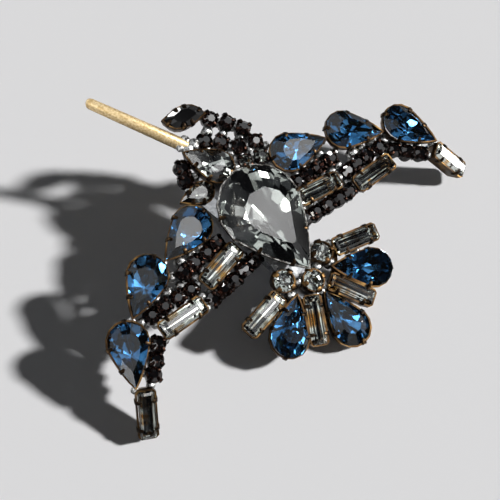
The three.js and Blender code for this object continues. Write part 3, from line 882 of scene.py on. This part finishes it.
def round_points(matrix, outline, drop):
    """Points along an outline grown by the setting's wall and lowered by drop, in metres."""
    points = []
    for (x, y), (u, v) in zip(outline, outline[1:] + outline[:1]):
        steps = max(1, int(math.hypot(u - x, v - y) / SPACING))
        for k in range(steps):
            p = Vector((x + (u - x) * k / steps, y + (v - y) * k / steps, 0))
            p += p.normalized() * SHEET
            points.append(matrix @ (Vector((p.x, p.y, -drop)) * MM))
    return np.array([tuple(p) for p in points])


rings = [round_points(seat["matrix"], seat["outline"], STONE_RIM) for seat in seats.values()]
for name, found in rows.items():
    radius = TAIL_CUP_RADIUS if name == "tail_root_chatons" else CUP_RADIUS
    rings += [round_points(seat, ring_outline(radius, 12), CUP_RIM) for seat in found]
joints = []
for i, ring in enumerate(rings):
    for other in rings[i + 1:]:
        gaps = np.linalg.norm(ring[:, None, :] - other[None, :, :], axis=2)
        a, b = np.unravel_index(gaps.argmin(), gaps.shape)
        if gaps[a, b] < JOINED_WITHIN * MM:
            joints.append((Vector((ring[a] + other[b]) / 2), gaps[a, b]))
print("places where settings meet", len(joints))

# %% Put the beads in
RIM_BEAD = ((-0.1, 0.4), (0.5, 0.85))               # from and to: how far below the rim, and radius, mm
BACK_BEAD = (1.8, 0.8)                              # how far below the rim, and radius, mm
GAP_SHARE = 0.25                                    # how much a wider gap adds to a bead's radius

beads = []
for place, gap in joints:
    rim_bead = [random.uniform(*limits) for limits in RIM_BEAD]
    for drop, size in (rim_bead, BACK_BEAD):
        scale = size + gap / MM * GAP_SHARE
        spin = Matrix.Rotation(random.uniform(0, 6.3), 4, BIRD_UP)
        beads.append(Matrix.Translation(place - BIRD_UP * drop * MM) @ spin @ Matrix.Scale(scale, 4))
solder = copy_of(models["bead"], "solder_beads", beads)
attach(solder, "bird")
print("beads", len(beads))

# %% [markdown]
# ## The beak
# The beak is a length of half-round wire, flat side down, with its end rounded on a file and its other end
# buried in solder beside the throat. It is drawn from a round bar that is cut flat along its length, which
# gives the true section, and its end is drawn in by three short steps before the edges are softened.

# %% Where the beak lies
ROOT_BAND = 0.2 * MM                                # corners this near the root end are the root's


def beak_place():
    """The beak's matrix, in metres, and its length, width and height, in mm, from the frame."""
    points = [vertex.co for vertex in nodes["beak"].data.vertices]
    middle = sum(points, Vector()) / len(points)
    head = seats["centre_stone"]["matrix"].translation
    tip = max(points, key=lambda p: (p - head).length)
    root_side = (middle - tip).normalized()
    root_side = (root_side - BIRD_UP * root_side.dot(BIRD_UP)).normalized()
    reach = [(p - tip).dot(root_side) for p in points]
    heights = [p.dot(BIRD_UP) for p in points]
    across = BIRD_UP.cross(-root_side)
    root = [p for p, r in zip(points, reach) if max(reach) - r < ROOT_BAND]
    width = (max(p.dot(across) for p in root) - min(p.dot(across) for p in root)) / MM
    centre = sum(root, Vector()) / len(root)
    matrix = Matrix((-root_side, across, BIRD_UP)).transposed().to_4x4()
    matrix.translation = centre + BIRD_UP * (min(heights) - centre.dot(BIRD_UP))
    return matrix, max(reach) / MM, width, (max(heights) - min(heights)) / MM


beak_matrix, beak_length, beak_width, beak_height = beak_place()
print("beak", round(beak_length, 1), "long", round(beak_width, 1), "wide", round(beak_height, 1), "high")

# %% Half-round wire
BEAK_TAPER = 0.2                                    # how much narrower the wire is at its tip, as a share
TIP_LENGTH = 1.0                                    # length of the rounded end, mm
TIP_STEPS = ((0.5, 0.86), (0.33, 0.66), (0.15, 0.5))  # outward in mm, share of the section that is left

select_nothing()
bpy.ops.mesh.primitive_cylinder_add(vertices=28, radius=1, depth=1, rotation=(0, math.pi / 2, 0))
beak = bpy.context.object
bpy.ops.object.transform_apply(location=True, rotation=True, scale=True)
for vertex in beak.data.vertices:
    share = 0 if vertex.co.x < 0 else 1
    wide = beak_width / 2 * (1 - BEAK_TAPER * share)
    vertex.co = (share * (beak_length - TIP_LENGTH), vertex.co.y * wide, vertex.co.z * beak_height)
edit(beak)
bpy.ops.mesh.bisect(plane_co=(0, 0, 0), plane_no=-UP, use_fill=True, clear_outer=True)
select_cap(beak, Vector((1, 0, 0)))
for outward, share in TIP_STEPS:
    bpy.ops.mesh.extrude_region_move(TRANSFORM_OT_translate={"value": (outward, 0, 0)})
    bpy.ops.transform.resize(value=(1, share, share))
close_edit()
bevel = beak.modifiers.new("soft edge", "BEVEL")
bevel.width = 0.12
bevel.segments = 2
bevel.limit_method = "ANGLE"
bevel.angle_limit = math.radians(50)
bpy.context.view_layer.objects.active = beak
bpy.ops.object.modifier_apply(modifier=bevel.name)
bpy.ops.object.shade_smooth_by_angle(angle=math.radians(40))
beak.data.transform(beak_matrix @ Matrix.Scale(MM, 4))
beak.name = "beak_wire"
beak.data.materials.append(GILT)
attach(beak, "bird")
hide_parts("beak")
print("beak faces", len(beak.data.polygons))

# %% Solder over the beak's root
ROOT_LUMPS = (                                      # along the beak, across it, radius, mm
    (-0.3, 0.3, 1.45), (0.9, -0.7, 1.2), (1.1, 0.8, 1.1), (2.3, 0.1, 1.0),
    (-1.2, -0.9, 1.25), (-1.5, 1.1, 1.2), (3.3, -0.5, 0.7), (3.6, 0.6, 0.55),
)
LUMP_UP = 0.55                                      # how high up the wire the lumps' middles are, as a share
LUMP_SHAPE = (1.2, 1, 0.75)                         # stretched along the beak and flattened

root_beads = []
for along, across, size in ROOT_LUMPS:
    lump = Matrix.Translation(Vector((along, across, beak_height * LUMP_UP)) * MM)
    lump @= Matrix.Rotation(along * 3 + across, 4, "Z")
    root_beads.append(beak_matrix @ lump @ Matrix.Diagonal([size * share for share in LUMP_SHAPE] + [1]))
beak_solder = copy_of(models["bead"], "beak_solder", root_beads)
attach(beak_solder, "bird")
print("lumps at the beak's root", len(root_beads))

# %% [markdown]
# ## The clip's spring
# The clip is closed by a spring of round wire, coiled round the hinge pin. A circle is swept along a screw,
# for as many turns as fit between the ears. On the real clip its two legs press on the plate and on the
# arm. They are short and out of sight, so only the coil is made.

# %% Coil the spring
low, high = (Vector(corner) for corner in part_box("clip_spring"))
spring_middle = (low + high) / 2
coil_out = (high.z - low.z) / 2 / MM
WIRE = 0.62                                         # diameter of the spring wire, mm
TURNS = 6
select_nothing()
bpy.ops.mesh.primitive_circle_add(vertices=8, radius=WIRE / 2)
spring = bpy.context.object
spring.name = "spring_coil"
pitch = ((high.x - low.x) / MM - WIRE) / TURNS
for vertex in spring.data.vertices:
    vertex.co = (vertex.co.x + coil_out - WIRE / 2, 0, vertex.co.y)
screw = spring.modifiers.new("coil", "SCREW")
screw.axis = "Z"
screw.angle = 2 * math.pi
screw.screw_offset = pitch
screw.iterations = TURNS
screw.steps = screw.render_steps = 24
screw.use_merge_vertices = False
bpy.ops.object.modifier_apply(modifier=screw.name)
edit(spring)
bpy.ops.mesh.select_mode(type="EDGE")
bpy.ops.mesh.select_all(action="DESELECT")
bpy.ops.mesh.select_non_manifold()
bpy.ops.mesh.edge_face_add()
close_edit()
bpy.ops.object.shade_smooth_by_angle(angle=SMOOTH_BELOW)
along_pin = Matrix.Translation(spring_middle) @ Matrix.Rotation(math.pi / 2, 4, "Y") @ Matrix.Scale(MM, 4)
spring.data.transform(along_pin @ Matrix.Translation((0, 0, -pitch * TURNS / 2)))
spring.data.materials.append(STEEL)
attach(spring, "bird")
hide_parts("clip_spring")
print("spring", TURNS, "turns", round(2 * coil_out, 1), "mm across")

# %% [markdown]
# ## Finishing the frame's own pieces
# The settings and the clip's plate, arm and pin have their right shape in the frame already, so they keep
# it and only get their metal. The models were never part of the object: they are taken away once all their
# copies are placed.

# %% Clear away the models and give the frame its metals
for model in models.values():
    bpy.data.objects.remove(model)


def metal_of(name):
    """The metal of a piece that the frame shows itself."""
    if name == "centre_setting":
        return TINNED
    if name.endswith("_setting"):
        return OLD_BRASS
    if name.endswith("_row"):
        return BLACK_COPPER
    return GILT if name == "beak" else STEEL


for name, node in nodes.items():
    slots = node.data.materials
    if not slots:
        slots.append(metal_of(name))
    for index in range(len(slots)):
        slots[index] = metal_of(name)
